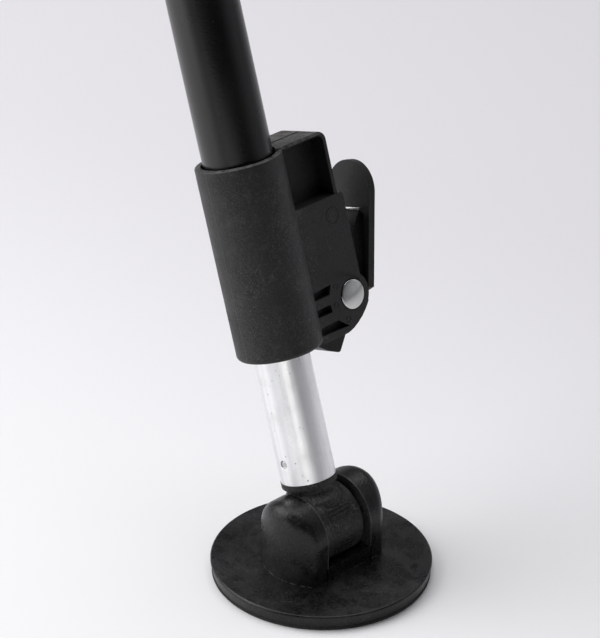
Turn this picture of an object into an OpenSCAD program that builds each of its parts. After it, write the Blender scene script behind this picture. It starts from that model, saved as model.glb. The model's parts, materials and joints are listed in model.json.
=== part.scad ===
// Telescoping door security bar. It stands on its pivoting foot and leans towards the door (+X).
// The origin is the centre of the sole on the floor. Millimetres.
// Bar parts are drawn upright in the bar's own frame: its origin is on the foot's hinge axis and
// +Z runs up the bar. Clamp parts are drawn in the side frame: X is the distance p out from the
// bar's axis towards the lever, Y is the height a along the bar, and Z is across the bar.

/* [Stance] */
// Lean of the bar from vertical, in degrees
lean = 18; // [0:1:40]
// Height of the foot's hinge axis above the floor
hinge_z = 25.75; // [24:0.25:30]
// Sideways offset of the bar from the middle of the foot
hinge_y = 2; // [0:0.1:2]

/* [Tubes] */
// Outside diameter of the outer tube
outer_d = 31.8; // [31:0.1:32]
// Wall of the outer tube
outer_wall = 1.5; // [1:0.1:1.6]
// Height at which the outer tube starts
outer_start = 118; // [116:1:122]
// Height at which the outer tube ends
outer_end = 640; // [560:5:700]
// Outside diameter of the inner tube
inner_d = 25.4; // [25:0.1:25.4]
// Wall of the inner tube
inner_wall = 1.5; // [1:0.1:2]
// Height at which the inner tube starts
inner_start = 22.7; // [22:0.1:24]
// Height at which the inner tube ends
inner_end = 496; // [430:2:510]

/* [Clamp] */
// Diameter of the housing's collar
collar_d = 39.6; // [38:0.2:41]
// Height of the collar's lower edge
collar_low = 83.2; // [82.4:0.2:84]
// Height of the collar's upper edge
collar_top = 173; // [165:1:180]
// Thickness of the block beside the collar
block_w = 25; // [24:0.5:27]
// Distance of the lever's pivot from the bar's axis
pivot_p = 38.6; // [37:0.2:40]
// Height of the lever's pivot
pivot_a = 97.3; // [96:0.1:98]
// Diameter of the lever pin
pin_d = 8; // [6:0.5:9]
// Diameter of the lever pin's head
pin_head_d = 13.6; // [12:0.1:14]

/* [Lever] */
// Tilt of the thumb plate away from the bar, in degrees
plate_tilt = 13; // [10:0.5:16]
// Thickness of the thumb plate
plate_t = 3.5; // [2.5:0.1:4]
// Width of the thumb plate at its round top
plate_top_w = 27.8; // [26:0.2:30]
// Width of the thumb plate at its heel
plate_heel_w = 22; // [20:0.5:24]
// Width of the lever's arm between the ears
arm_w = 14; // [12:0.5:14]

/* [Foot] */
// Diameter of the foot's disc
disc_d = 101.6; // [96:0.2:106]
// Height of the disc's upper face above the floor
disc_top = 7.3; // [6.5:0.1:8]
// Thickness of the rubber sole
sole_t = 1.5; // [1:0.1:2]
// Diameter of the circle that shapes the outside of the cheeks
cheek_d = 56; // [54:1:60]
// Width of the cheeks along the lean
cheek_w = 36.6; // [36:0.2:38]
// Width of the slot between the cheeks
slot_w = 26.6; // [26.4:0.1:28]
// Diameter of the knuckle's barrel
knuckle_d = 34; // [32:0.5:34]
// Width of the knuckle
knuckle_w = 23.4; // [22:0.2:23.6]
// Sideways offset of the knuckle's barrel from the middle of the foot
barrel_y = 1.5; // [0:0.1:1.6]

/* [Yoke] */
// Height of the centre of the knob cradle
cradle_a = 701; // [690:1:720]
// Radius of the rubber-lined cradle
cradle_r = 17; // [14:0.5:20]
// Thickness of the cradle's rubber lining
liner_t = 3; // [2:0.5:4]
// Depth of the yoke along the door knob's axis
yoke_depth = 26; // [20:1:30]

/* [Hidden] */
$fn = 96;

eps = 0.01;
run_gap = 0.05;      // running fit, on the radius
seat_gap = 0.02;     // parts of one body that sit in each other

outer_r = outer_d / 2;
outer_ri = outer_r - outer_wall;
inner_r = inner_d / 2;
inner_ri = inner_r - inner_wall;

collar_r = collar_d / 2;
block_hw = block_w / 2;
ear_step = 0.8;      // the ears' faces are set back from the block's, in two steps
ear_hw = block_hw - ear_step;
ear_low = collar_low - 2;
lobe_r = 10;
slot_hw = arm_w / 2 + 0.3;
jaw_gap = 0.35;      // between the jaw and the inner tube

slot_near = barrel_y + knuckle_w / 2 + 0.3;
slot_far = slot_near - slot_w;
cheek_r = cheek_d / 2;
dome_r = cheek_w / 2;
hinge_pin_r = 4;

// The thumb plate's outer face is this far from the pivot
plate_off = lobe_r + 0.5 + plate_t;
plate_in = plate_off - plate_t;
plate_len = 45.7;    // from the pivot's level to the centre of the round top
plate_heel = 0.4;    // below the pivot's level
arm_top = 37.3;        // the arm meets the plate up to here

module in_bar() {
    translate([0, hinge_y, hinge_z]) rotate([0, lean, 0]) children();
}

// From the side frame (p, a, across) to the bar's frame
module in_side() {
    rotate([90, 0, -90]) children();
}

// A plate of thickness 2 * hw in the side frame, centred across the bar
module across(hw) {
    translate([0, 0, -hw]) linear_extrude(2 * hw) children();
}

// Both sides of the bar in the side frame
module both_sides() {
    children();
    mirror([0, 0, 1]) children();
}

module tube(r, ri, low, high) {
    difference() {
        translate([0, 0, low]) cylinder(r = r, h = high - low);
        translate([0, 0, low - 1]) cylinder(r = ri, h = high - low + 2);
    }
}

module square_from(x0, y0, x1, y1) {
    translate([x0, y0]) square([x1 - x0, y1 - y0]);
}

// ---------------------------------------------------------------- outer tube

button_a = 618;
button_r = 3.9;

module outer_tube() {
    color("#141416") in_bar() difference() {
        tube(outer_r, outer_ri, outer_start, outer_end);
        translate([0, 0, button_a]) rotate([0, -90, 0]) cylinder(r = button_r + 0.1, h = 30);
        for (a = screw_heights)
            translate([0, 0, a]) rotate([0, 90, 0]) cylinder(r = screw_r + seat_gap, h = 30);
    }
}

// ------------------------------------------------------------- clamp housing

screw_heights = [132, 156];
screw_r = 1.9;
screw_head_r = 3.6;

module collar_body() {
    rotate_extrude() {
        difference() {
            union() {
                translate([0, collar_low + 2]) square([collar_r, collar_top - collar_low - 3]);
                translate([0, collar_low]) square([collar_r - 2, 3]);
                translate([collar_r - 2, collar_low + 2]) circle(r = 2, $fn = 48);
                translate([0, collar_top - 2]) square([collar_r - 1, 2]);
                translate([collar_r - 1, collar_top - 1]) circle(r = 1, $fn = 32);
            }
            translate([-10, collar_low - 5]) square([10, 100]);
        }
    }
}

// The block's outline with the round lobe about the pivot
module ear_outline() {
    polygon([[0, collar_low + 1], [12.8, collar_low + 1], [12.8, ear_low], [31.2, ear_low],
             [33.4, ear_low + 0.5], [35.6, ear_low + 1.2], [38.6, ear_low + 2.7],
             [41.7, ear_low + 4.7], [44.8, ear_low + 7.4], [47.2, ear_low + 10.2],
             [pivot_p + lobe_r - 3, pivot_a + 4], [block_p, 102.2], [block_p, block_top - 1.1],
             [block_p - 1.1, block_top], [0, block_top]]);
    translate([pivot_p, pivot_a]) circle(r = lobe_r);
}

block_p = 44.7;      // outer face of the block
block_top = 144.2;   // its top, the floor of the box's pockets

// The thicker upper part of the block above its curved lower edge, and the lower step under it
module block_outline() {
    polygon([[0, 112.2], [27.2, 112.3], [29.5, 111.8], [32.9, 110.3], [36.3, 108.4], [39.3, 106.6],
             [42, 104.8], [block_p, 102.8], [block_p, block_top - 1.1],
             [block_p - 1.1, block_top], [0, block_top]]);
}

module step_outline() {
    polygon([[0, 109.9], [27.3, 110], [30.6, 109.6], [33.7, 108.6], [36.9, 107.2], [39.9, 105.4],
             [42.2, 103.9], [block_p, 102.2], [block_p, 120], [0, 120]]);
}

module box_outline(inset) {
    r = 4.6 - inset * 0.8;
    high = 174 - inset;
    out = 41.9 - inset;
    polygon([[0, 143], [out, 143], [out, high - r], [out - r, high], [0, high]]);
    translate([out - r, high - r]) circle(r = r, $fn = 64);
}

// The room for the lever between the ears
module lever_slot_outline() {
    polygon([[0, collar_low - 12], [70, collar_low - 12], [70, 131], [44.7, 131], [28.5, 101.5],
             [24, 100.5], [0, 100.5]]);
}

module ear_pockets() {
    polygon([[14.8, 101.4], [25.1, 101.5], [27, 105.8], [14.8, 105.2]]);
    polygon([[14.8, 93.5], [24.9, 93.4], [24.4, 97.1], [14.8, 97.1]]);
    polygon([[14.8, 84.8], [33.1, 84.2], [27.2, 88.8], [14.8, 88.4]]);
}

module mould_ring(p, a, r, face) {
    translate([p, a, face - 0.25]) difference() {
        cylinder(r = r, h = 1);
        translate([0, 0, -1]) cylinder(r = r - 0.3, h = 3);
    }
}

web_hw = 3.4;        // half the thickness of the wall between the box's pockets

module clamp_housing() {
    color("#1d1d1f") in_bar() difference() {
        union() {
            collar_body();
            in_side() {
                across(ear_hw) ear_outline();
                across(block_hw) block_outline();
                across(block_hw - ear_step / 2) step_outline();
                difference() {
                    across(12) box_outline(0);
                    both_sides() translate([0, 0, web_hw]) linear_extrude(20) difference() {
                        box_outline(1.8);
                        translate([-1, 120]) square([60, block_top - 120]);
                    }
                }
                across(0.4) translate([10, 173.5]) square([27, 0.8]);
            }
            // the collar again, where the box's pockets cut into it
            translate([0, 0, 140]) cylinder(r = collar_r, h = collar_top - 141);
        }
        // bore: rim recess, tube seat, clear space and lower land
        translate([0, 0, collar_top - 2.4]) cylinder(r = outer_r + 1.1, h = 10);
        translate([0, 0, outer_start - 2]) cylinder(r = outer_r + seat_gap, h = 70);
        translate([0, 0, collar_low + 4]) cylinder(r = 14.6, h = 40);
        translate([0, 0, collar_low - 5]) cylinder(r = inner_r + 0.5, h = 30);
        in_side() {
            across(slot_hw) lever_slot_outline();
            both_sides() {
                translate([0, 0, ear_hw - 3.4]) linear_extrude(10) ear_pockets();
                mould_ring(35.9, 135.6, 3.8, block_hw);
                mould_ring(29.6, 104, 1.4, ear_hw);
                mould_ring(27.8, 95.8, 1.4, ear_hw);
                mould_ring(33.1, 87.2, 1.4, ear_hw);
                translate([pivot_p, pivot_a, ear_hw - 1.1]) cylinder(r = pin_head_d / 2 + 0.45, h = 5);
            }
            translate([pivot_p, pivot_a, -30]) cylinder(r = pin_d / 2 + seat_gap, h = 60);
        }
        for (a = screw_heights) translate([0, 0, a]) rotate([0, 90, 0]) {
            cylinder(r = screw_r + seat_gap, h = 30);
            translate([0, 0, collar_r - 0.7]) cylinder(r = screw_head_r + 0.4, h = 10);
        }
    }
}

module housing_screws() {
    color("#6e7074") in_bar() for (a = screw_heights) translate([0, 0, a]) rotate([0, 90, 0])
        difference() {
            union() {
                translate([0, 0, outer_ri + 0.3]) cylinder(r = screw_r, h = 5);
                translate([0, 0, collar_r - 0.68]) cylinder(r = screw_head_r, h = 1.6);
                translate([0, 0, collar_r + 0.9]) cylinder(r1 = screw_head_r, r2 = 2.4, h = 0.8);
            }
            for (turn = [0, 90]) rotate(turn)
                translate([-2.4, -0.4, collar_r + 0.3]) cube([4.8, 0.8, 5]);
        }
}

module lower_guide_bush() {
    color("#d8d6cf") in_bar() {
        tube(outer_ri - seat_gap, inner_r + run_gap, outer_start - 1, outer_start + 20);
        tube(outer_r - 0.1, inner_r + run_gap, outer_start - 2 + seat_gap, outer_start - seat_gap);
    }
}

// --------------------------------------------------------------------- lever

// Along the thumb plate: X is the distance out from the pivot, Y the way up the plate
module on_plate() {
    translate([pivot_p, pivot_a, 0]) rotate(-plate_tilt) children();
}

module plate_front() {
    r = plate_top_w / 2;
    heel = plate_heel_w / 2;
    polygon([[-heel, 2.2 - plate_heel], [2.2 - heel, -plate_heel], [heel - 2.2, -plate_heel],
             [heel, 2.2 - plate_heel], [r, plate_len], [-r, plate_len]]);
    translate([0, plate_len]) circle(r = r);
}

// The toe that reaches in under the housing to the inner tube
module toe_outline() {
    polygon([[pivot_p - 2, pivot_a + 8.1], [24, 98.6], [14, 96], [10, 95], [10, 84], [13.4, 81.7],
             [16.8, 79.2], [22.3, 75.3], [26.4, 73.4], [27.5, 73], [28.6, 73.3], [33.4, 79.4],
             [pivot_p + 7, pivot_a - 4.4]]);
}

module arm_outline() {
    on_plate() polygon([[-7, 4.6], [plate_in + eps, arm_top], [plate_in + eps, 0.8], [7.5, -4]]);
}

module release_lever() {
    color("#1b1b1d") in_bar() difference() {
        in_side() difference() {
            union() {
                // thumb plate
                on_plate() translate([plate_in, 0, 0]) rotate([0, 90, 0])
                    linear_extrude(plate_t) plate_front();
                across(arm_w / 2) {
                    arm_outline();
                    toe_outline();
                    translate([pivot_p, pivot_a]) circle(r = 8.5);
                }
            }
            // sloping outer edge of the heel
            across(plate_top_w) on_plate()
                polygon([[plate_off + 1, 2.6], [plate_off, 1.8], [plate_off - 2.8, -plate_heel],
                         [plate_off - 2.8, -4], [plate_off + 1, -4]]);
            // bore, and the room of the spring: round the hub, out to the wall, up the arm
            translate([pivot_p, pivot_a, -30]) cylinder(r = pin_d / 2 + run_gap, h = 60);
            mirror([0, 0, 1]) {
                translate([pivot_p, pivot_a, spring_low - 0.2]) cylinder(r = 7.4, h = 20);
                translate([pivot_p - 12, pivot_a - 3, spring_low - 0.2]) cube([8.5, 13, 20]);
                translate([pivot_p, pivot_a, 0]) rotate(plate_leg_turn)
                    translate([spring_r - 0.9, 0, leg_w - 0.9])
                        cube([1.8, plate_leg + 1.2, arm_w / 2 - leg_w + 0.9 + eps]);
            }
            // shallow wells in the plate beside the arm
            on_plate() both_sides() translate([plate_in - 1, 4, arm_w / 2])
                cube([2.6, 31.5, 2.6]);
            // seat of the jaw
            translate([10, jaw_low - 0.05, -jaw_hw - seat_gap])
                cube([jaw_back - 10 + seat_gap, jaw_high - jaw_low + 0.1, 2 * (jaw_hw + seat_gap)]);
        }
        translate([0, 0, 60]) cylinder(r = inner_r + jaw_gap + 0.5, h = 60);
    }
}

jaw_low = 84.5;
jaw_high = 94.5;
jaw_hw = 5.5;
jaw_back = 18;
jaw_teeth = 5;

module grip_jaw() {
    color("#8d9095") in_bar() difference() {
        in_side() across(jaw_hw)
            translate([8, jaw_low]) square([jaw_back - 8, jaw_high - jaw_low]);
        translate([0, 0, 60]) cylinder(r = inner_r + jaw_gap, h = 60);
        // serrations
        for (i = [0 : jaw_teeth - 2])
            translate([0, 0, jaw_low + (i + 1) * (jaw_high - jaw_low) / jaw_teeth])
                rotate_extrude() polygon([[0, -0.6], [inner_r + jaw_gap, -0.6],
                                          [inner_r + jaw_gap + 0.7, 0],
                                          [inner_r + jaw_gap, 0.6], [0, 0.6]]);
    }
}

module lever_pin() {
    color("#c9ccd0") in_bar() in_side() translate([pivot_p, pivot_a, 0]) {
        translate([0, 0, -ear_hw - 0.9]) cylinder(r = pin_d / 2, h = 2 * ear_hw);
        translate([0, 0, ear_hw - 1.08]) cylinder(r = pin_head_d / 2, h = 1.3);
        // domed face of the head
        translate([0, 0, ear_hw + 0.22]) rotate_extrude()
            intersection() {
                square([pin_head_d / 2, 1]);
                translate([0, 0.75 - head_dome_r]) circle(r = head_dome_r, $fn = 720);
            }
    }
}

head_dome_r = 32.6;

module pin_clip() {
    color("#9a9da2") in_bar() in_side() translate([pivot_p, pivot_a, 0]) difference() {
        union() {
            translate([0, 0, -ear_hw + 0.4]) cylinder(r = 6.6, h = 0.68);
            translate([0, 0, -ear_hw - 0.4]) cylinder(r1 = 5.2, r2 = 6, h = 0.81);
        }
        translate([0, 0, -30]) cylinder(r = pin_d / 2 + seat_gap, h = 60);
        for (turn = [0 : 60 : 300]) rotate(turn)
            translate([pin_d / 2 - 1, -0.4, -ear_hw - 1]) cube([2.2, 0.8, 3]);
    }
}

// Torsion spring: coil on the far side of the hub, one leg up the arm and across its top against
// the plate, one leg against the housing
spring_low = 2.6;
spring_wire = 1.2;
spring_r = 5.6;
spring_pitch = 1.25;
spring_sides = 8;
plate_leg = 38.4;
plate_leg_turn = -plate_tilt - 6.2;      // where the plate's leg leaves the coil
coil_turn = 864;                         // degrees of coil between the legs
leg_w = spring_low + spring_wire / 2 + spring_pitch * coil_turn / 360;
wall_leg = 8;
tip_hook = 14.2;                         // the end of the plate's leg, bent across the arm
coil_steps = 60;

function coil_turn_at(i) = plate_leg_turn - coil_turn * i / coil_steps;

// Point on the coil, i steps along it
function coil_point(i) =
    [spring_r * cos(coil_turn_at(i)), spring_r * sin(coil_turn_at(i)),
     spring_pitch * coil_turn / 360 * i / coil_steps - leg_w];

// The way the wire runs at a turn of the coil; straight legs run on along it
function wire_way(turn) = [sin(turn), -cos(turn), 0];

// Ring of points about p, across a wire that runs along way; rise is the ring's second axis
function wire_ring(p, way, rise) =
    [for (s = [0 : spring_sides - 1])
        let (out = spring_wire / 2 * cos(360 * s / spring_sides),
             up = spring_wire / 2 * sin(360 * s / spring_sides))
        p + out * [way[1], -way[0], 0] + up * rise];

module lever_spring() {
    n = spring_sides;
    up = [0, 0, 1];
    leg_way = wire_way(plate_leg_turn);
    end_way = wire_way(coil_turn_at(coil_steps));
    tip = coil_point(0) - plate_leg * leg_way;
    rings = concat([wire_ring(tip + tip_hook * up, leg_way, leg_way)],
                   [wire_ring(tip, leg_way, leg_way + up)],
                   [for (i = [0 : coil_steps]) wire_ring(coil_point(i), wire_way(coil_turn_at(i)), up)],
                   [wire_ring(coil_point(coil_steps) + wall_leg * end_way, end_way, up)]);
    walls = [for (i = [0 : len(rings) - 2], s = [0 : n - 1])
        let (a = i * n + s, b = i * n + (s + 1) % n, c = b + n, d = a + n)
        each [[a, b, c], [a, c, d]]];
    end = (len(rings) - 1) * n;
    caps = [for (s = [1 : n - 2]) each [[0, s + 1, s], [end, end + s, end + s + 1]]];
    color("#b5b8bc") in_bar() in_side() translate([pivot_p, pivot_a, 0])
        polyhedron([for (ring = rings) each ring], concat(walls, caps));
}

// --------------------------------------------------------------- inner tube

bush_low = inner_end - 26;
ring_low = bush_low - 2.4;
dimple_a = 33;
stake_r = 2;

module glide_bush() {
    color("#dcd9d0") in_bar() {
        tube(outer_ri - run_gap, inner_r + run_gap, bush_low, inner_end + 0.3);
        tube(outer_ri - run_gap, 6, inner_end + 0.3 - eps, inner_end + 3);
    }
}

module bush_ring() {
    color("#8b8e93") in_bar() difference() {
        tube(inner_r + 0.85, inner_r - 0.5 + seat_gap, ring_low, ring_low + 2);
        translate([0, -2, ring_low - 1]) cube([30, 4, 4]);
    }
}

module inner_tube() {
    color("#cfd2d6") in_bar() difference() {
        tube(inner_r, inner_ri, inner_start, inner_end);
        // groove of the ring
        difference() {
            translate([0, 0, ring_low - 0.1]) cylinder(r = inner_r + 1, h = 2.2);
            translate([0, 0, ring_low - 1]) cylinder(r = inner_r - 0.5, h = 4);
        }
        translate([0, 0, dimple_a]) rotate([90, 0, 0])
            cylinder(r = stake_r + seat_gap, h = 60, center = true);
    }
}

module tube_plug() {
    color("#242426") in_bar() difference() {
        union() {
            translate([0, 0, inner_start - 1]) cylinder(r = inner_ri - seat_gap, h = 31);
            rotate_extrude() {
                square_from(0, inner_start - 3.2, inner_r - 0.5, inner_start - seat_gap);
                square_from(0, inner_start - 2.5, inner_r + 0.2, inner_start - seat_gap);
                translate([inner_r - 0.5, inner_start - 2.5]) circle(r = 0.7, $fn = 32);
            }
        }
        translate([0, 0, inner_start - 5]) cylinder(r = 7 + seat_gap, h = 31);
        translate([0, 0, inner_start + 20]) cylinder(r = 3, h = 20);
        translate([0, 0, dimple_a]) rotate([90, 0, 0])
            cylinder(r = stake_r + seat_gap, h = 60, center = true);
    }
}

module plug_pin() {
    reach = inner_r - 0.7;
    color("#aeb1b6") in_bar() translate([0, 0, dimple_a]) rotate([90, 0, 0]) {
        translate([0, 0, -reach]) cylinder(r = stake_r, h = 2 * reach);
        for (side = [0, 1]) mirror([0, 0, side]) translate([0, 0, reach - eps])
            cylinder(r1 = stake_r - 0.1, r2 = 1.2, h = 0.45);
    }
}

// ------------------------------------------------------------------ knuckle

rib_angles = [20, 26, 32, -28, -35, -42];
neck_r = 11.2;

module knuckle() {
    color("#212123") in_bar() difference() {
        union() {
            translate([0, barrel_y - hinge_y, 0]) {
                rotate([90, 0, 0]) cylinder(r = knuckle_d / 2 - 0.6, h = knuckle_w, center = true);
                rotate([90, 0, 0]) cylinder(r = knuckle_d / 2, h = knuckle_w - 1.2, center = true);
                for (angle = rib_angles) rotate([0, angle, 0])
                    translate([-knuckle_d / 2 - 0.4, -6.5, -0.55]) cube([3, 13, 1.1]);
            }
            cylinder(r = neck_r, h = inner_start - 3.25);
            // the neck widens into the barrel
            intersection() {
                union() {
                    translate([0, 0, 15.5]) cylinder(r1 = neck_r + 1, r2 = neck_r, h = 1.6);
                    translate([0, 0, 13.4]) cylinder(r1 = neck_r + 3, r2 = neck_r + 0.99, h = 2.11);
                    translate([0, 0, 5]) cylinder(r = neck_r + 3, h = 8.41);
                }
                translate([-20, barrel_y - hinge_y - knuckle_w / 2 + 0.6, 5])
                    cube([40, knuckle_w - 1.2, 20]);
            }
            translate([0, 0, 10]) cylinder(r = 7, h = inner_start + 13);
        }
        rotate([90, 0, 0]) cylinder(r = hinge_pin_r + run_gap, h = 60, center = true);
        translate([0, 0, dimple_a]) rotate([90, 0, 0])
            cylinder(r = stake_r + seat_gap, h = 60, center = true);
    }
}

// --------------------------------------------------------------------- foot

hinge_pin_far = 27;
hinge_pin_near = 20;

module in_foot() {
    translate([0, 0, hinge_z]) children();
}

// Outline of both cheeks seen along the hinge
module cheek_side(r) {
    circle(r = r);
    translate([-r, -hinge_z + sole_t + 1]) square([2 * r, hinge_z - sole_t - 1]);
}

// Plan of both cheeks: round ends of radius r, straight sides, chamfered corners
module cheek_plan(r) {
    intersection() {
        circle(r = r);
        square([2 * dome_r, 100], center = true);
        rotate(48) square([2 * r - 1.2, 100], center = true);
        rotate(-48) square([2 * r - 1.2, 100], center = true);
    }
}

// Cheeks: domed about the hinge, with the edge to the round ends blended in steps
module cheeks() {
    blend = 5;
    steps = 6;
    for (i = [0 : steps - 1]) {
        turn = 90 * i / steps;
        next = 90 * (i + 1) / steps;
        intersection() {
            in_foot() rotate([90, 0, 0])
                linear_extrude(100, center = true)
                    cheek_side(dome_r - blend * (1 - cos(turn)));
            translate([0, 0, sole_t + 1]) linear_extrude(60)
                cheek_plan(cheek_r - blend * (1 - sin(next)));
        }
    }
}

module foot_base() {
    lip = disc_top - 1.5;
    disc_r = disc_d / 2;
    color("#1a1a1c") difference() {
        union() {
            rotate_extrude($fn = 180) {
                polygon([[0, sole_t], [disc_r - 0.8, sole_t], [disc_r - 0.35, lip + eps],
                         [0, lip + eps]]);
                square_from(0, lip, disc_r, disc_top - 1);
                square_from(0, lip, disc_r - 1, disc_top);
                translate([disc_r - 1, disc_top - 1]) circle(r = 1, $fn = 48);
            }
            cheeks();
        }
        // slot between the cheeks, with a trough for the barrel
        translate([-50, slot_far, 14.6]) cube([100, slot_w, 60]);
        in_foot() translate([0, slot_near, 0]) rotate([90, 0, 0])
            cylinder(r = knuckle_d / 2 + 0.9, h = slot_w);
        // bore of the hinge pin: open on the far cheek, blind in the near one
        in_foot() translate([0, hinge_pin_near + 0.5, 0]) rotate([90, 0, 0])
            cylinder(r = hinge_pin_r + seat_gap, h = 60);
    }
}

module hinge_pin() {
    color("#9ea1a6") in_foot() {
        translate([0, hinge_pin_near, 0]) rotate([90, 0, 0])
            cylinder(r = hinge_pin_r, h = hinge_pin_near + hinge_pin_far - 0.6);
        translate([0, 0.6 - hinge_pin_far + eps, 0]) rotate([90, 0, 0])
            cylinder(r1 = hinge_pin_r, r2 = hinge_pin_r - 0.6, h = 0.6);
    }
}

// Friction washer in the gap beside the knuckle
module hinge_washer() {
    far = barrel_y - knuckle_w / 2;
    gap = far - slot_far;
    color("#0f0f10") in_foot() translate([0, far - 0.15, 0]) rotate([90, 0, 0]) difference() {
        cylinder(r = 10, h = gap - 0.2);
        translate([0, 0, -1]) cylinder(r = hinge_pin_r + 0.3, h = 10);
    }
}

module sole_pad() {
    color("#101010") rotate_extrude($fn = 180) difference() {
        union() {
            square([disc_d / 2 - 1.2, sole_t]);
            translate([disc_d / 2 - 1.3, 0.3]) square([0.7, sole_t - 0.3]);
        }
        for (r = [12 : 6 : 42]) translate([r, -1]) square([2, 1.7]);
    }
}

// --------------------------------------------------------------------- yoke

fork_r = cradle_r + liner_t;
fork_hw = fork_r + 13;
prong_a = cradle_a + 20.5;
prong_tip_r = 6.5;

module fork_outline() {
    difference() {
        union() {
            translate([0, cradle_a]) circle(r = fork_hw);
            translate([-fork_hw, cradle_a]) square([2 * fork_hw, prong_a - cradle_a]);
            polygon([[-17.6, outer_end + 9], [17.6, outer_end + 9], [28.5, cradle_a - 16],
                     [-28.5, cradle_a - 16]]);
            for (side = [-1, 1])
                translate([side * (fork_hw - prong_tip_r), prong_a]) circle(r = prong_tip_r);
        }
        translate([0, cradle_a]) circle(r = fork_r);
        translate([-fork_r, cradle_a]) square([2 * fork_r, 60]);
        translate([-fork_r - prong_tip_r, prong_a + prong_tip_r]) square([100, 60]);
    }
}

module yoke() {
    color("#1c1c1e") in_bar() difference() {
        union() {
            translate([0, 0, outer_end - 44]) cylinder(r = outer_ri - seat_gap, h = 45);
            translate([0, 0, outer_end]) cylinder(r = outer_r + 2, h = 11);
            rotate([90, 0, 90]) linear_extrude(yoke_depth, center = true) difference() {
                fork_outline();
                translate([-50, outer_end - 10]) square([100, 19]);
            }
        }
        translate([0, 0, outer_end - 50]) cylinder(r = 10.5, h = 46);
        translate([0, 0, button_a]) rotate([0, -90, 0]) cylinder(r = button_r + 0.08, h = 30);
    }
}

module yoke_liner() {
    color("#2a2a2b") in_bar() rotate([90, 0, 90])
        linear_extrude(yoke_depth + 3, center = true) difference() {
            union() {
                translate([0, cradle_a]) circle(r = fork_r - seat_gap);
                translate([seat_gap - fork_r, cradle_a])
                    square([2 * (fork_r - seat_gap), prong_a - cradle_a]);
            }
            translate([0, cradle_a]) circle(r = cradle_r);
            translate([-cradle_r, cradle_a]) square([2 * cradle_r, 60]);
            translate([-50, cradle_a + 19]) square([100, 20]);
        }
}

module snap_button() {
    color("#b9bcc0") in_bar() translate([0, 0, button_a]) rotate([0, -90, 0]) {
        translate([0, 0, 8.4]) cylinder(r = button_r, h = 9.2);
        translate([0, 0, 17.59]) cylinder(r1 = button_r, r2 = button_r - 1, h = 1);
        translate([0, 0, 7.6]) cylinder(r = 5, h = 0.81);
    }
}

// Bent leaf that pushes the button outwards
module button_spring() {
    front = 7.5;
    back = 9.4;
    leaf_t = 0.6;
    low = button_a - 16;
    color("#a7aaae") in_bar() rotate([90, 0, 0]) linear_extrude(7, center = true)
        polygon([[-front, button_a + 6], [-front, button_a - 7], [back - 0.8, low - 0.6],
                 [back, low + 0.2], [back, button_a + 6], [back - leaf_t, button_a + 6],
                 [back - leaf_t, low + 0.9], [back - 1, low + 0.4],
                 [leaf_t - front, button_a - 6.5], [leaf_t - front, button_a + 6]]);
}

outer_tube();
clamp_housing();
housing_screws();
lower_guide_bush();
release_lever();
grip_jaw();
lever_pin();
pin_clip();
lever_spring();
glide_bush();
bush_ring();
inner_tube();
tube_plug();
plug_pin();
knuckle();
hinge_pin();
hinge_washer();
foot_base();
sole_pad();
yoke();
yoke_liner();
snap_button();
button_spring();
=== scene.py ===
# Door security bar: looks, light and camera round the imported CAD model. Metres.
import json
import math

import bmesh
import bpy
from mathutils import Euler, Matrix, Vector


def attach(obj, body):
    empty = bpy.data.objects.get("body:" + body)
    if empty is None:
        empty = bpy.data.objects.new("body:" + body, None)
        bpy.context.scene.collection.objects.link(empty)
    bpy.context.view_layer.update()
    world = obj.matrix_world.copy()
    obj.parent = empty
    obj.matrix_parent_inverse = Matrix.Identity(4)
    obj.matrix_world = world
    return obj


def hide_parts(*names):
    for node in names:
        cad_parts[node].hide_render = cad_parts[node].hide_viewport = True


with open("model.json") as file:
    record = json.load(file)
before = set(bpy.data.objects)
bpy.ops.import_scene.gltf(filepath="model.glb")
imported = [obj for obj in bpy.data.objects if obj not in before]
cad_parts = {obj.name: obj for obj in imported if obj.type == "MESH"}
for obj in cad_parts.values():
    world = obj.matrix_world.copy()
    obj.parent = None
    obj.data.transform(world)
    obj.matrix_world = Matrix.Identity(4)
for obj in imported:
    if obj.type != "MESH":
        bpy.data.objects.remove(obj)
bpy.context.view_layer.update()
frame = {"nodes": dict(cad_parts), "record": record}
scene = bpy.context.scene
scene.view_settings.view_transform = "Standard"
scene.view_settings.look = "None"

LEAN = math.radians(18)
HINGE_UP = 0.02575                       # height of the hinge axis
COLLAR_TOP = 0.173                       # the collar's upper rim, along the bar from the hinge
SLOT_NEAR, SLOT_FAR = 0.0135, -0.0131    # the foot's slot between its cheeks

# where the housing's parting plane and its upper rim lie once coordinates are turned upright
PARTING_X = HINGE_UP * math.sin(LEAN)
RIM_Z = COLLAR_TOP + HINGE_UP * math.cos(LEAN)


# ------------------------------------------------------------------ node helpers

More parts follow.
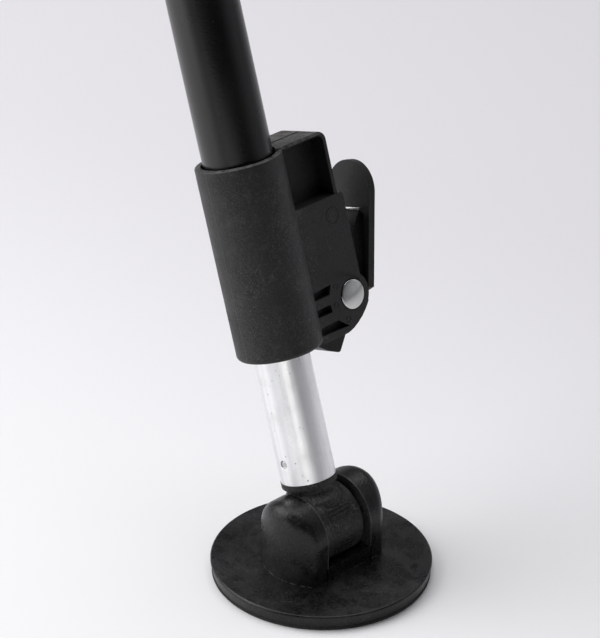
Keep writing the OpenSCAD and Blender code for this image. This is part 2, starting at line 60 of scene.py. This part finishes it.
class Mat:
    """A material with its node tree and short ways to add nodes."""

    SOCKETS = {"color": "Base Color", "rough": "Roughness", "metal": "Metallic",
               "specular": "Specular IOR Level", "normal": "Normal"}

    def __init__(self, name):
        self.mat = bpy.data.materials.new(name)
        self.mat.use_nodes = True
        self.nt = self.mat.node_tree
        self.nt.nodes.clear()
        out = self.nt.nodes.new("ShaderNodeOutputMaterial")
        self.bsdf = self.nt.nodes.new("ShaderNodeBsdfPrincipled")
        self.nt.links.new(self.bsdf.outputs[0], out.inputs[0])
        self.coord = self.nt.nodes.new("ShaderNodeTexCoord").outputs["Object"]

    def put(self, socket, value):
        if isinstance(value, bpy.types.NodeSocket):
            self.nt.links.new(value, socket)
        else:
            socket.default_value = value

    def set(self, **values):
        for key, value in values.items():
            if key == "color" and isinstance(value, tuple):
                value = (*value, 1)
            self.put(self.bsdf.inputs[self.SOCKETS[key]], value)

    def along_bar(self, stretch=(1, 1, 1)):
        """Object coordinates turned into the bar's own frame, then stretched."""
        turn = self.nt.nodes.new("ShaderNodeMapping")
        turn.inputs["Rotation"].default_value = (0, -LEAN, 0)
        self.nt.links.new(self.coord, turn.inputs["Vector"])
        size = self.nt.nodes.new("ShaderNodeMapping")
        size.inputs["Scale"].default_value = stretch
        self.nt.links.new(turn.outputs[0], size.inputs["Vector"])
        return size.outputs[0]

    def axes(self, vector):
        """X, Y and Z of a vector."""
        n = self.nt.nodes.new("ShaderNodeSeparateXYZ")
        self.nt.links.new(vector, n.inputs[0])
        return n.outputs

    def noise(self, scale, detail=2, rough=0.5, at=None, warp=0.0):
        n = self.nt.nodes.new("ShaderNodeTexNoise")
        n.inputs["Scale"].default_value = scale
        n.inputs["Detail"].default_value = detail
        n.inputs["Roughness"].default_value = rough
        n.inputs["Distortion"].default_value = warp
        self.nt.links.new(at or self.coord, n.inputs["Vector"])
        return n.outputs["Fac"]

    def cells(self, scale):
        n = self.nt.nodes.new("ShaderNodeTexVoronoi")
        n.inputs["Scale"].default_value = scale
        self.nt.links.new(self.coord, n.inputs["Vector"])
        return n.outputs["Distance"]

    def span(self, value, low, high, to_low=0.0, to_high=1.0, smooth=False):
        """The value's way from low to high, mapped to to_low and to_high and held at the ends."""
        n = self.nt.nodes.new("ShaderNodeMapRange")
        n.interpolation_type = "SMOOTHSTEP" if smooth else "LINEAR"
        self.put(n.inputs["Value"], value)
        n.inputs["From Min"].default_value = low
        n.inputs["From Max"].default_value = high
        n.inputs["To Min"].default_value = to_low
        n.inputs["To Max"].default_value = to_high
        return n.outputs[0]

    def math(self, what, a, b=0.0):
        n = self.nt.nodes.new("ShaderNodeMath")
        n.operation = what
        self.put(n.inputs[0], a)
        self.put(n.inputs[1], b)
        return n.outputs[0]

    def times(self, first, *more):
        for value in more:
            first = self.math("MULTIPLY", first, value)
        return first

    def mix(self, fac, a, b):
        n = self.nt.nodes.new("ShaderNodeMix")
        n.data_type = "RGBA"
        self.put(n.inputs[0], fac)
        for socket, value in ((n.inputs[6], a), (n.inputs[7], b)):
            self.put(socket, (*value, 1) if isinstance(value, tuple) else value)
        return n.outputs[2]

    def bump(self, height, depth, strength=1.0, over=None):
        n = self.nt.nodes.new("ShaderNodeBump")
        n.inputs["Strength"].default_value = strength
        n.inputs["Distance"].default_value = depth
        self.put(n.inputs["Height"], height)
        if over is not None:
            self.nt.links.new(over, n.inputs["Normal"])
        return n.outputs[0]


# --------------------------------------------------------------------- materials

DUST = (0.1, 0.098, 0.095)
GRIT = (0.2, 0.19, 0.18)
CLOUD = (0.09, 0.088, 0.085)
SCUFF = (0.15, 0.147, 0.14)
SMEAR = (0.017, 0.017, 0.0185)
SETTLED = (0.16, 0.155, 0.145)
SLOT_EDGE_HIGHLIGHT = (0.1, 0.1, 0.1)
RIM_HIGHLIGHT_AND_WEAR = (0.17, 0.165, 0.16)
FLASH = (0.12, 0.12, 0.12)


def settled_dust_and_edge_highlight(m, color, low, high):
    """Dust gathered between two heights, at the foot of the cheeks, and a painted highlight along
    their slot edges.
    """
    x, y, z = m.axes(m.coord)[:3]
    fade_in = 0.00006
    near = m.times(m.span(z, high, low, smooth=True), m.span(z, low - fade_in, low))
    lain = m.times(near, m.span(m.noise(420, 4, 0.7), 0.42, 0.62))
    color = m.mix(m.times(lain, 0.75), color, SETTLED)
    above_disc = m.span(z, 0.009, 0.012)
    # a paler line along each slot edge above the disc: painted highlight
    for edge in (SLOT_NEAR, SLOT_FAR):
        line = edge + math.copysign(0.0002, edge)
        off = m.math("ABSOLUTE", m.math("SUBTRACT", y, line))
        slot_edge_highlight = m.times(m.span(off, 0.0005, 0.0002), above_disc)
        color = m.mix(m.times(slot_edge_highlight, 0.5), color, SLOT_EDGE_HIGHLIGHT)
    return color


def parting_line(m, place):
    """The fine flash line down the collar's near side, in its parting plane."""
    off = m.math("ABSOLUTE", m.math("ADD", place[0], PARTING_X))
    return m.times(m.span(off, 0.0003, 0.0001), m.span(place[1], 0.01, 0.012))


def rim_highlight_and_wear(m, place):
    """Patchy paler band on the collar's upper rim: painted highlight and wear."""
    near = m.span(place[2], RIM_Z - 0.0007, RIM_Z - 0.0002)
    return m.times(near, m.span(m.noise(300, 4, 0.7), 0.35, 0.6))


def plastic(name, tone, rough, grain, grain_depth, dust=0.5, mottle=0.5, scuffs=0.5, gloss=0.3,
            settled=None, moulded=False, smudge=0.3):
    """Moulded black plastic: fine grain, handling marks, dust in the grain and duller patches.
    settled = (low, high) heights between which dust has gathered in a corner, with a painted
    highlight along the slot edges;
    moulded is for the housing: its parting line, a painted highlight with wear on its rim and a
    cleaner far side."""
    m = Mat(name)
    patches = m.noise(70, 4, 0.65)
    wide = m.noise(22, 3, 0.55, warp=0.6)
    fine = m.noise(grain, 3, 0.7)
    pits = m.cells(grain * 0.8)
    speckle = m.span(m.noise(grain, 2, 0.8), 0.48, 0.68)
    grit = m.span(m.noise(grain * 0.8, 2, 0.6), 0.64, 0.7)
    clouds = m.span(m.noise(130, 5, 0.75, warp=0.8), 0.5, 0.72)
    smears = m.span(m.noise(48, 5, 0.7, warp=1.5), 0.46, 0.62)
    streaks = m.noise(34, 5, 0.72, at=m.along_bar((5, 5, 1)), warp=1.2)
    rubs = m.times(m.span(streaks, 0.6, 0.72), m.span(patches, 0.45, 0.65))
    cover = m.times(m.span(patches, 0.3, 0.7, 0.15, 1.0), m.span(wide, 0.3, 0.65, 0.3, 1.0))
    if moulded:
        place = m.axes(m.along_bar())
        cover = m.times(cover, m.span(place[1], -0.022, -0.015, 0.3, 1.0))

    pale = tuple(c * 2.2 + 0.003 for c in tone)
    color = m.mix(m.times(m.span(wide, 0.35, 0.7), mottle), tone, pale)
    color = m.mix(m.times(speckle, cover, 0.8 * dust), color, DUST)
    color = m.mix(m.times(grit, cover, 0.8 * dust), color, GRIT)
    color = m.mix(m.times(clouds, cover, 0.6 * dust), color, CLOUD)
    color = m.mix(m.times(rubs, m.span(fine, 0.35, 0.6), 0.9 * scuffs), color, SCUFF)
    if settled:
        color = settled_dust_and_edge_highlight(m, color, *settled)
    relief = m.bump(patches, 0.0005, 0.35)
    if moulded:
        ridge = parting_line(m, place)
        # paler collar rim: painted highlight and wear
        color = m.mix(m.times(rim_highlight_and_wear(m, place), 0.55), color, RIM_HIGHLIGHT_AND_WEAR)
        color = m.mix(m.times(ridge, 0.25), color, FLASH)
        relief = m.bump(ridge, 0.00015, 0.8, over=relief)
    color = m.mix(m.times(smears, 0.5 * smudge), color, SMEAR)

    dull = m.math("ADD", m.times(rubs, 0.12), m.times(smears, 0.16 * smudge))
    dull = m.math("ADD", m.span(patches, 0.3, 0.7, rough - 0.09, rough + 0.1), dull)
    grainy = m.math("ADD", fine, m.times(pits, 0.5))
    m.set(color=color, rough=dull, specular=gloss, normal=m.bump(grainy, grain_depth, over=relief))
    return m.mat


def powder_coat(name):
    """Satin black coat of the outer tube, with fine orange peel and a few dust specks."""
    m = Mat(name)
    peel = m.noise(900, 2, 0.5)
    wide = m.noise(30, 3, 0.5, at=m.along_bar((3, 3, 1)))
    specks = m.span(m.noise(1500, 1, 0.5), 0.73, 0.8)
    color = m.mix(m.times(specks, 0.35), (0.003, 0.0028, 0.0031), (0.14, 0.14, 0.14))
    m.set(color=color, rough=m.span(wide, 0.3, 0.7, 0.23, 0.3), specular=0.5,
          normal=m.bump(peel, 0.00005, 0.6))
    return m.mat


def drawn_aluminium(name):
    """Drawn tube: streaks along the bar, cloudy dull patches, tiny pits and faint stains."""
    m = Mat(name)
    lines = m.noise(420, 3, 0.6, at=m.along_bar((1, 1, 0.012)))
    broad = m.noise(150, 3, 0.6, at=m.along_bar((1, 1, 0.03)))
    cloud = m.noise(90, 5, 0.7)
    pits = m.times(m.span(m.cells(360), 0.17, 0.05), m.span(m.noise(75, 2, 0.5), 0.5, 0.56))
    color = m.mix(m.span(broad, 0.35, 0.65), (0.78, 0.79, 0.815), (0.95, 0.95, 0.95))
    color = m.mix(m.times(m.span(cloud, 0.52, 0.7), 0.35), color, (0.7, 0.69, 0.67))
    color = m.mix(m.times(pits, 0.7), color, (0.36, 0.34, 0.31))
    streaky = m.span(lines, 0.25, 0.75, 0.26, 0.44)
    rough = m.math("ADD", streaky, m.span(cloud, 0.35, 0.7, -0.04, 0.1))
    under = m.bump(m.math("SUBTRACT", 1.0, pits), 0.0002, 0.8)
    m.set(color=color, rough=rough, metal=1.0, normal=m.bump(lines, 0.00003, 0.6, over=under))
    return m.mat


def metal(name, tone, rough):
    """Plain metal parts: fine brushing and stains."""
    m = Mat(name)
    fine = m.noise(900, 3, 0.6)
    stain = m.noise(160, 4, 0.65)
    dark = tuple(c * 0.6 for c in tone)
    m.set(color=m.mix(m.times(m.span(stain, 0.5, 0.75), 0.3), tone, dark),
          rough=m.span(stain, 0.3, 0.7, rough - 0.06, rough + 0.1), metal=1.0,
          normal=m.bump(fine, 0.00002, 0.6))
    return m.mat


def rubber(name, tone, rough):
    """Matt rubber with fine tooth and paler patches."""
    m = Mat(name)
    fine = m.noise(1400, 3, 0.6)
    patches = m.noise(50, 3, 0.6)
    m.set(color=m.mix(m.span(patches, 0.4, 0.75), tone, tuple(c * 2 + 0.01 for c in tone)),
          rough=m.span(patches, 0.3, 0.7, rough - 0.08, rough + 0.08), specular=0.35,
          normal=m.bump(fine, 0.00006, 0.8))
    return m.mat


def nylon(name):
    """Off-white bushes, slightly yellowed in patches."""
    m = Mat(name)
    patches = m.noise(90, 3, 0.6)
    m.set(color=m.mix(m.span(patches, 0.35, 0.75), (0.74, 0.73, 0.68), (0.66, 0.64, 0.58)),
          rough=m.span(patches, 0.3, 0.7, 0.38, 0.5),
          normal=m.bump(m.noise(1200, 2, 0.5), 0.00003, 0.6))
    return m.mat


# slot of the record: the material that shows it
LOOKS = {
    "satin_black_steel": powder_coat("satin_black_steel_look"),
    "black_plastic": plastic("black_plastic_look", (0.0055, 0.0055, 0.006), 0.5, 1500, 0.00016,
                             dust=1.0, scuffs=0.9, gloss=0.42, moulded=True),
    "lever_plastic": plastic("lever_plastic_look", (0.005, 0.005, 0.0053), 0.44, 1500, 0.00008,
                             dust=0.25, scuffs=0.3),
    "plug_plastic": plastic("plug_plastic_look", (0.012, 0.012, 0.012), 0.55, 1400, 0.00016,
                            dust=1.0),
    "knuckle_plastic": plastic("knuckle_plastic_look", (0.0055, 0.0055, 0.0057), 0.46, 950,
                               0.00022, dust=1.5),
    "foot_plastic": plastic("foot_plastic_look", (0.0012, 0.0012, 0.0015), 0.28, 1000, 0.0001,
                            dust=0.4, mottle=1.0, scuffs=0.9, gloss=0.32, smudge=0.8,
                            settled=(0.0074, 0.0085)),
    "yoke_plastic": plastic("yoke_plastic_look", (0.018, 0.018, 0.0185), 0.48, 1500, 0.00007,
                            dust=0.3),
    "aluminium": drawn_aluminium("aluminium_look"),
    "pin_zinc": metal("pin_zinc_look", (0.62, 0.63, 0.61), 0.16),
    "clip_steel": metal("clip_steel_look", (0.55, 0.55, 0.56), 0.34),
    "jaw_steel": metal("jaw_steel_look", (0.42, 0.42, 0.43), 0.36),
    "spring_steel": metal("spring_steel_look", (0.6, 0.6, 0.61), 0.28),
    "screw_steel": metal("screw_steel_look", (0.56, 0.56, 0.57), 0.34),
    "rubber": rubber("rubber_look", (0.014, 0.0135, 0.013), 0.75),
    "liner_rubber": rubber("liner_rubber_look", (0.02, 0.02, 0.021), 0.68),
    "nylon": nylon("nylon_look"),
}
SLOT_OF = {s["node"]: s["material_slot"] for s in frame["record"]["subparts"]}


# --------------------------------------------------------------------- CAD nodes

# width of the rounded edges; nodes that aren't named have the small edge
SMALL_EDGE = 0.0001
EDGES = {"clamp_housing": 0.00016, "release_lever": 0.0005, "knuckle": 0.00012, "yoke": 0.0012,
         "yoke_liner": 0.0006, "foot_base": 0.0004, "outer_tube": 0.0002, "inner_tube": 0.0002,
         "tube_plug": 0.0002, "snap_button": 0.0002, "lever_pin": 0.0002}
SHARP_FROM = math.radians(32)
FACETED = ("lever_spring",)


def round_edges(o, width):
    """A bevel on the sharp edges and shading that follows the large faces."""
    bevel = o.modifiers.new("edges", "BEVEL")
    bevel.width = width
    bevel.segments = 3
    bevel.limit_method = "ANGLE"
    bevel.angle_limit = SHARP_FROM
    shade = o.modifiers.new("shade", "WEIGHTED_NORMAL")
    shade.weight = 60
    return bevel


def finish_node(name, o):
    o.data.materials.clear()
    o.data.materials.append(LOOKS[SLOT_OF[name]])
    weld = o.modifiers.new("weld", "WELD")
    weld.merge_threshold = 1e-6
    if name in FACETED:
        return
    flat = o.modifiers.new("flat", "DECIMATE")
    flat.decimate_type = "DISSOLVE"
    flat.angle_limit = math.radians(0.5)
    bevel = round_edges(o, EDGES.get(name, SMALL_EDGE))
    bevel.miter_outer = "MITER_ARC"


for name, o in frame["nodes"].items():
    finish_node(name, o)


# ------------------------------------------------------- foot with flowing edges

DISC_R = 0.0508
DISC_TOP = 0.0073
RIM_R = 0.001                   # the round at the disc's upper edge
SOLE_TOP = 0.0015
DOME_R = 0.0183                 # the cheeks' dome about the hinge
CHEEK_R = 0.028                 # the cheeks' outer ends, round in plan
SLOT_FLOOR = 0.0146
TROUGH_R = 0.0179
BORE_R = 0.00405
BALL_LOW, BALL_HIGH = 0.0045, 0.0065    # the ball that rounds the cheeks, at the base and the top


def cheek_stations():
    """(turn of the side's normal from upright, height of its centre): straight side, then dome."""
    low = SOLE_TOP + 0.002
    upright, turns = 6, 48
    for i in range(upright):
        yield math.pi / 2, low + (HINGE_UP - low) * i / upright
    for i in range(turns + 1):
        yield math.pi / 2 * (1 - i / turns), HINGE_UP


def cheek_row(turn, z, inner):
    """Points from the slot's edge outwards, round the ball and in along the outer end."""
    top = z + DOME_R * math.cos(turn)
    ball = BALL_LOW + (BALL_HIGH - BALL_LOW) * min(1, max(0, (top - 0.008) / 0.03))
    x_c = (DOME_R - ball) * math.sin(turn)
    y_c = math.sqrt((CHEEK_R - ball) ** 2 - x_c ** 2)
    centre = Vector((x_c, y_c, z + (DOME_R - ball) * math.cos(turn)))
    side_way = Vector((math.sin(turn), 0, math.cos(turn)))
    end_way = Vector((x_c, y_c, 0)).normalized()
    angle = side_way.angle(end_way)

    x = DOME_R * math.sin(turn)
    row = [Vector((x, inner, top)), Vector((x, (inner + y_c) / 2, top))]
    steps = 12
    for k in range(steps + 1):
        f = k / steps
        way = side_way * math.sin((1 - f) * angle) + end_way * math.sin(f * angle)
        row.append(centre + way / math.sin(angle) * ball)
    last = row[-1]
    across = 8
    for k in range(1, across + 1):
        x = last.x * (1 - k / across)
        row.append(Vector((x, math.sqrt(CHEEK_R ** 2 - x * x), last.z)))
    return row


def cheek(bm, inner, side):
    """One cheek as a closed shell, its inner face at a distance from the middle."""
    rows = [cheek_row(turn, z, inner) for turn, z in cheek_stations()]
    grids = [[[bm.verts.new((p.x * way, p.y * side, p.z)) for p in row] for row in rows]
             for way in (1, -1)]
    for grid in grids:
        for a, b in zip(grid, grid[1:]):
            for k in range(len(a) - 1):
                bm.faces.new((a[k], a[k + 1], b[k + 1], b[k]))
    half, other = grids
    inner_face = [row[0] for row in half] + [row[0] for row in reversed(other)][1:]
    base = half[0] + list(reversed(other[0]))[1:]
    bm.faces.new(inner_face)
    bm.faces.new(base)


def lathe(bm, profile):
    """A solid turned about the middle, from its lower to its upper flat face."""
    steps = 192
    turns = [2 * math.pi * s / steps for s in range(steps)]
    rings = [[bm.verts.new((r * math.cos(t), r * math.sin(t), z)) for t in turns]
             for r, z in profile]
    for a, b in zip(rings, rings[1:]):
        for s in range(steps):
            n = (s + 1) % steps
            bm.faces.new((a[s], a[n], b[n], b[s]))
    bm.faces.new(rings[0])
    bm.faces.new(rings[-1])


def disc_profile():
    lip = DISC_TOP - 0.0015
    quarter = [math.pi / 2 * i / 8 for i in range(9)]
    rim = [(DISC_R - RIM_R + RIM_R * math.cos(a), DISC_TOP - RIM_R + RIM_R * math.sin(a))
           for a in quarter]
    skirt = [(DISC_R - 0.0008, SOLE_TOP), (DISC_R - 0.00035, lip),
             (DISC_R - 0.0001, lip), (DISC_R, lip + 0.0001)]
    return skirt + rim + [(r, DISC_TOP) for r in (0.047, 0.04, 0.02, 0.005)]


def trough(bm):
    """The floor of the slot, hollowed under the barrel."""
    base, overlap = 0.004, 0.001
    edge = math.sqrt(TROUGH_R ** 2 - (HINGE_UP - SLOT_FLOOR) ** 2)
    hollow = [edge * (i / 16 - 1) for i in range(33)]
    line = [(-DOME_R, base), (-DOME_R, SLOT_FLOOR)]
    line += [(x, HINGE_UP - math.sqrt(TROUGH_R ** 2 - x * x)) for x in hollow]
    line += [(DOME_R, SLOT_FLOOR), (DOME_R, base)]
    far, near = [[bm.verts.new((x, y, z)) for x, z in line]
                 for y in (SLOT_FAR - overlap, SLOT_NEAR + overlap)]
    for k in range(len(line)):
        n = (k + 1) % len(line)
        bm.faces.new((far[k], far[n], near[n], near[k]))
    bm.faces.new(far)
    bm.faces.new(near)


def disc_and_near_cheek(bm):
    lathe(bm, disc_profile())
    cheek(bm, SLOT_NEAR, 1)
    trough(bm)


def far_cheek(bm):
    cheek(bm, -SLOT_FAR, -1)


def pin_bore(bm):
    place = Matrix.Translation((0, -0.024, HINGE_UP)) @ Matrix.Rotation(math.pi / 2, 4, "X")
    bmesh.ops.create_cone(bm, cap_ends=True, segments=64, radius1=BORE_R, radius2=BORE_R,
                          depth=0.012, matrix=place)


def shell_object(name, make):
    mesh = bpy.data.meshes.new(name)
    bm = bmesh.new()
    make(bm)
    bmesh.ops.remove_doubles(bm, verts=bm.verts, dist=1e-6)
    bmesh.ops.recalc_face_normals(bm, faces=bm.faces)
    bm.to_mesh(mesh)
    bm.free()
    o = bpy.data.objects.new(name, mesh)
    scene.collection.objects.link(o)
    return o


def bored_far_cheek():
    """Mesh of the far cheek with the hinge pin's bore cut into it."""
    far = shell_object("foot_far_cheek", far_cheek)
    bore = shell_object("bore_cutter", pin_bore)
    cut = far.modifiers.new("bore", "BOOLEAN")
    cut.operation = "DIFFERENCE"
    cut.solver = "EXACT"
    cut.object = bore
    deps = bpy.context.evaluated_depsgraph_get()
    mesh = bpy.data.meshes.new_from_object(far.evaluated_get(deps))
    bpy.data.objects.remove(far)
    bpy.data.objects.remove(bore)
    return mesh


def foot_shape():
    foot = shell_object("foot_shape", disc_and_near_cheek)
    bm = bmesh.new()
    bm.from_mesh(foot.data)
    bm.from_mesh(bored_far_cheek())
    for f in bm.faces:
        f.smooth = True
    bm.to_mesh(foot.data)
    bm.free()
    foot.data.materials.append(LOOKS["foot_plastic"])
    round_edges(foot, EDGES["foot_base"])
    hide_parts("foot_base")
    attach(foot, "foot")


foot_shape()


# ------------------------------------------------------- floor, light and camera

FRONT = (-0.72, 0.68, 0.12)             # almost level, towards the camera
ROOM_TONE = (0.94, 0.94, 1, 1)
ROOM_STRENGTH = 0.45                    # behind the bar and low down, where it is strongest
OVERHEAD_SHARE = 0.3
# the floor's colour grows paler towards the near left: a painted pool of light
FLOOR_LIT_WAY = (-0.35, 0.94, 0)
FLOOR_SHADED_TONE = (0.735, 0.722, 0.755)
FLOOR_LIT_TONE = (0.915, 0.91, 0.925)
CAMERA_PLACE = (-0.86716, 0.87197, 0.81409)
CAMERA_TURN = (60.9285, -0.5506, -134.3439)     # degrees
LENS, SENSOR = 180.93, 36                       # millimetres


def floor():
    mesh = bpy.data.meshes.new("studio_floor")
    bm = bmesh.new()
    bmesh.ops.create_grid(bm, x_segments=1, y_segments=1, size=12)
    bm.to_mesh(mesh)
    bm.free()
    o = bpy.data.objects.new("studio_floor", mesh)
    scene.collection.objects.link(o)
    m = Mat("floor_painted_light_look")
    place = m.nt.nodes.new("ShaderNodeVectorMath")
    place.operation = "DOT_PRODUCT"
    place.inputs[1].default_value = FLOOR_LIT_WAY
    m.nt.links.new(m.coord, place.inputs[0])
    # painted light: paler floor colour towards the near left
    near = m.span(place.outputs["Value"], -0.4, 0.15, smooth=True)
    m.set(color=m.mix(near, FLOOR_SHADED_TONE, FLOOR_LIT_TONE), rough=0.65, specular=0.15)
    mesh.materials.append(m.mat)


def softbox(name, place, target, size, watts, spread=180):
    light = bpy.data.lights.new(name, "AREA")
    light.shape = "RECTANGLE"
    light.size, light.size_y = size
    light.energy = watts
    light.spread = math.radians(spread)
    o = bpy.data.objects.new(name, light)
    o.location = place
    o.rotation_euler = (Vector(target) - Vector(place)).to_track_quat("-Z", "Y").to_euler()
    o.visible_camera = False
    scene.collection.objects.link(o)


def smooth_range(nt, value, low, high, to_low, to_high):
    """Like Mat.span with smooth=True, in the world's node tree."""
    n = nt.nodes.new("ShaderNodeMapRange")
    n.interpolation_type = "SMOOTHSTEP"
    n.inputs["From Min"].default_value = low
    n.inputs["From Max"].default_value = high
    n.inputs["To Min"].default_value = to_low
    n.inputs["To Max"].default_value = to_high
    nt.links.new(value, n.inputs["Value"])
    return n.outputs[0]


def studio_world():
    """Dim room: darker in front, where the photographer stands, and darker overhead."""
    world = bpy.data.worlds.new("studio")
    world.use_nodes = True
    nt = world.node_tree
    way = nt.nodes.new("ShaderNodeTexCoord").outputs["Generated"]
    dot = nt.nodes.new("ShaderNodeVectorMath")
    dot.operation = "DOT_PRODUCT"
    dot.inputs[1].default_value = FRONT
    nt.links.new(way, dot.inputs[0])
    height = nt.nodes.new("ShaderNodeSeparateXYZ")
    nt.links.new(way, height.inputs[0])
    both = nt.nodes.new("ShaderNodeMath")
    both.operation = "MULTIPLY"
    behind = smooth_range(nt, dot.outputs["Value"], 0.95, -0.1, 0.0, ROOM_STRENGTH)
    lower = smooth_range(nt, height.outputs[2], 0.1, 0.5, 1.0, OVERHEAD_SHARE)
    nt.links.new(behind, both.inputs[0])
    nt.links.new(lower, both.inputs[1])
    back = nt.nodes["Background"]
    back.inputs[0].default_value = ROOM_TONE
    nt.links.new(both.outputs[0], back.inputs[1])
    scene.world = world


def camera():
    data = bpy.data.cameras.new("camera")
    data.lens = LENS
    data.sensor_width = SENSOR
    data.clip_end = 50
    o = bpy.data.objects.new("camera", data)
    o.location = CAMERA_PLACE
    o.rotation_euler = Euler([math.radians(a) for a in CAMERA_TURN], "XYZ")
    scene.collection.objects.link(o)
    scene.camera = o


floor()
camera()
studio_world()
softbox("key_left", (1.15, 1.05, 1.3), (-0.05, 0.2, 0.0), (1.8, 1.6), 34)
softbox("fill_right", (-0.7, -1.5, 1.1), (0.05, 0, 0.15), (0.9, 1.2), 1.5)
softbox("top", (0.5, -0.5, 2.4), (0, 0, 0), (2.4, 2.4), 38)
softbox("low_front", (-0.58, 0.5, 0.1), (0.02, 0, 0.07), (1.2, 0.12), 0.15, spread=80)
softbox("low_left", (0.5, 0.75, 0.12), (0.02, 0, 0.07), (0.8, 0.16), 0.13, spread=70)
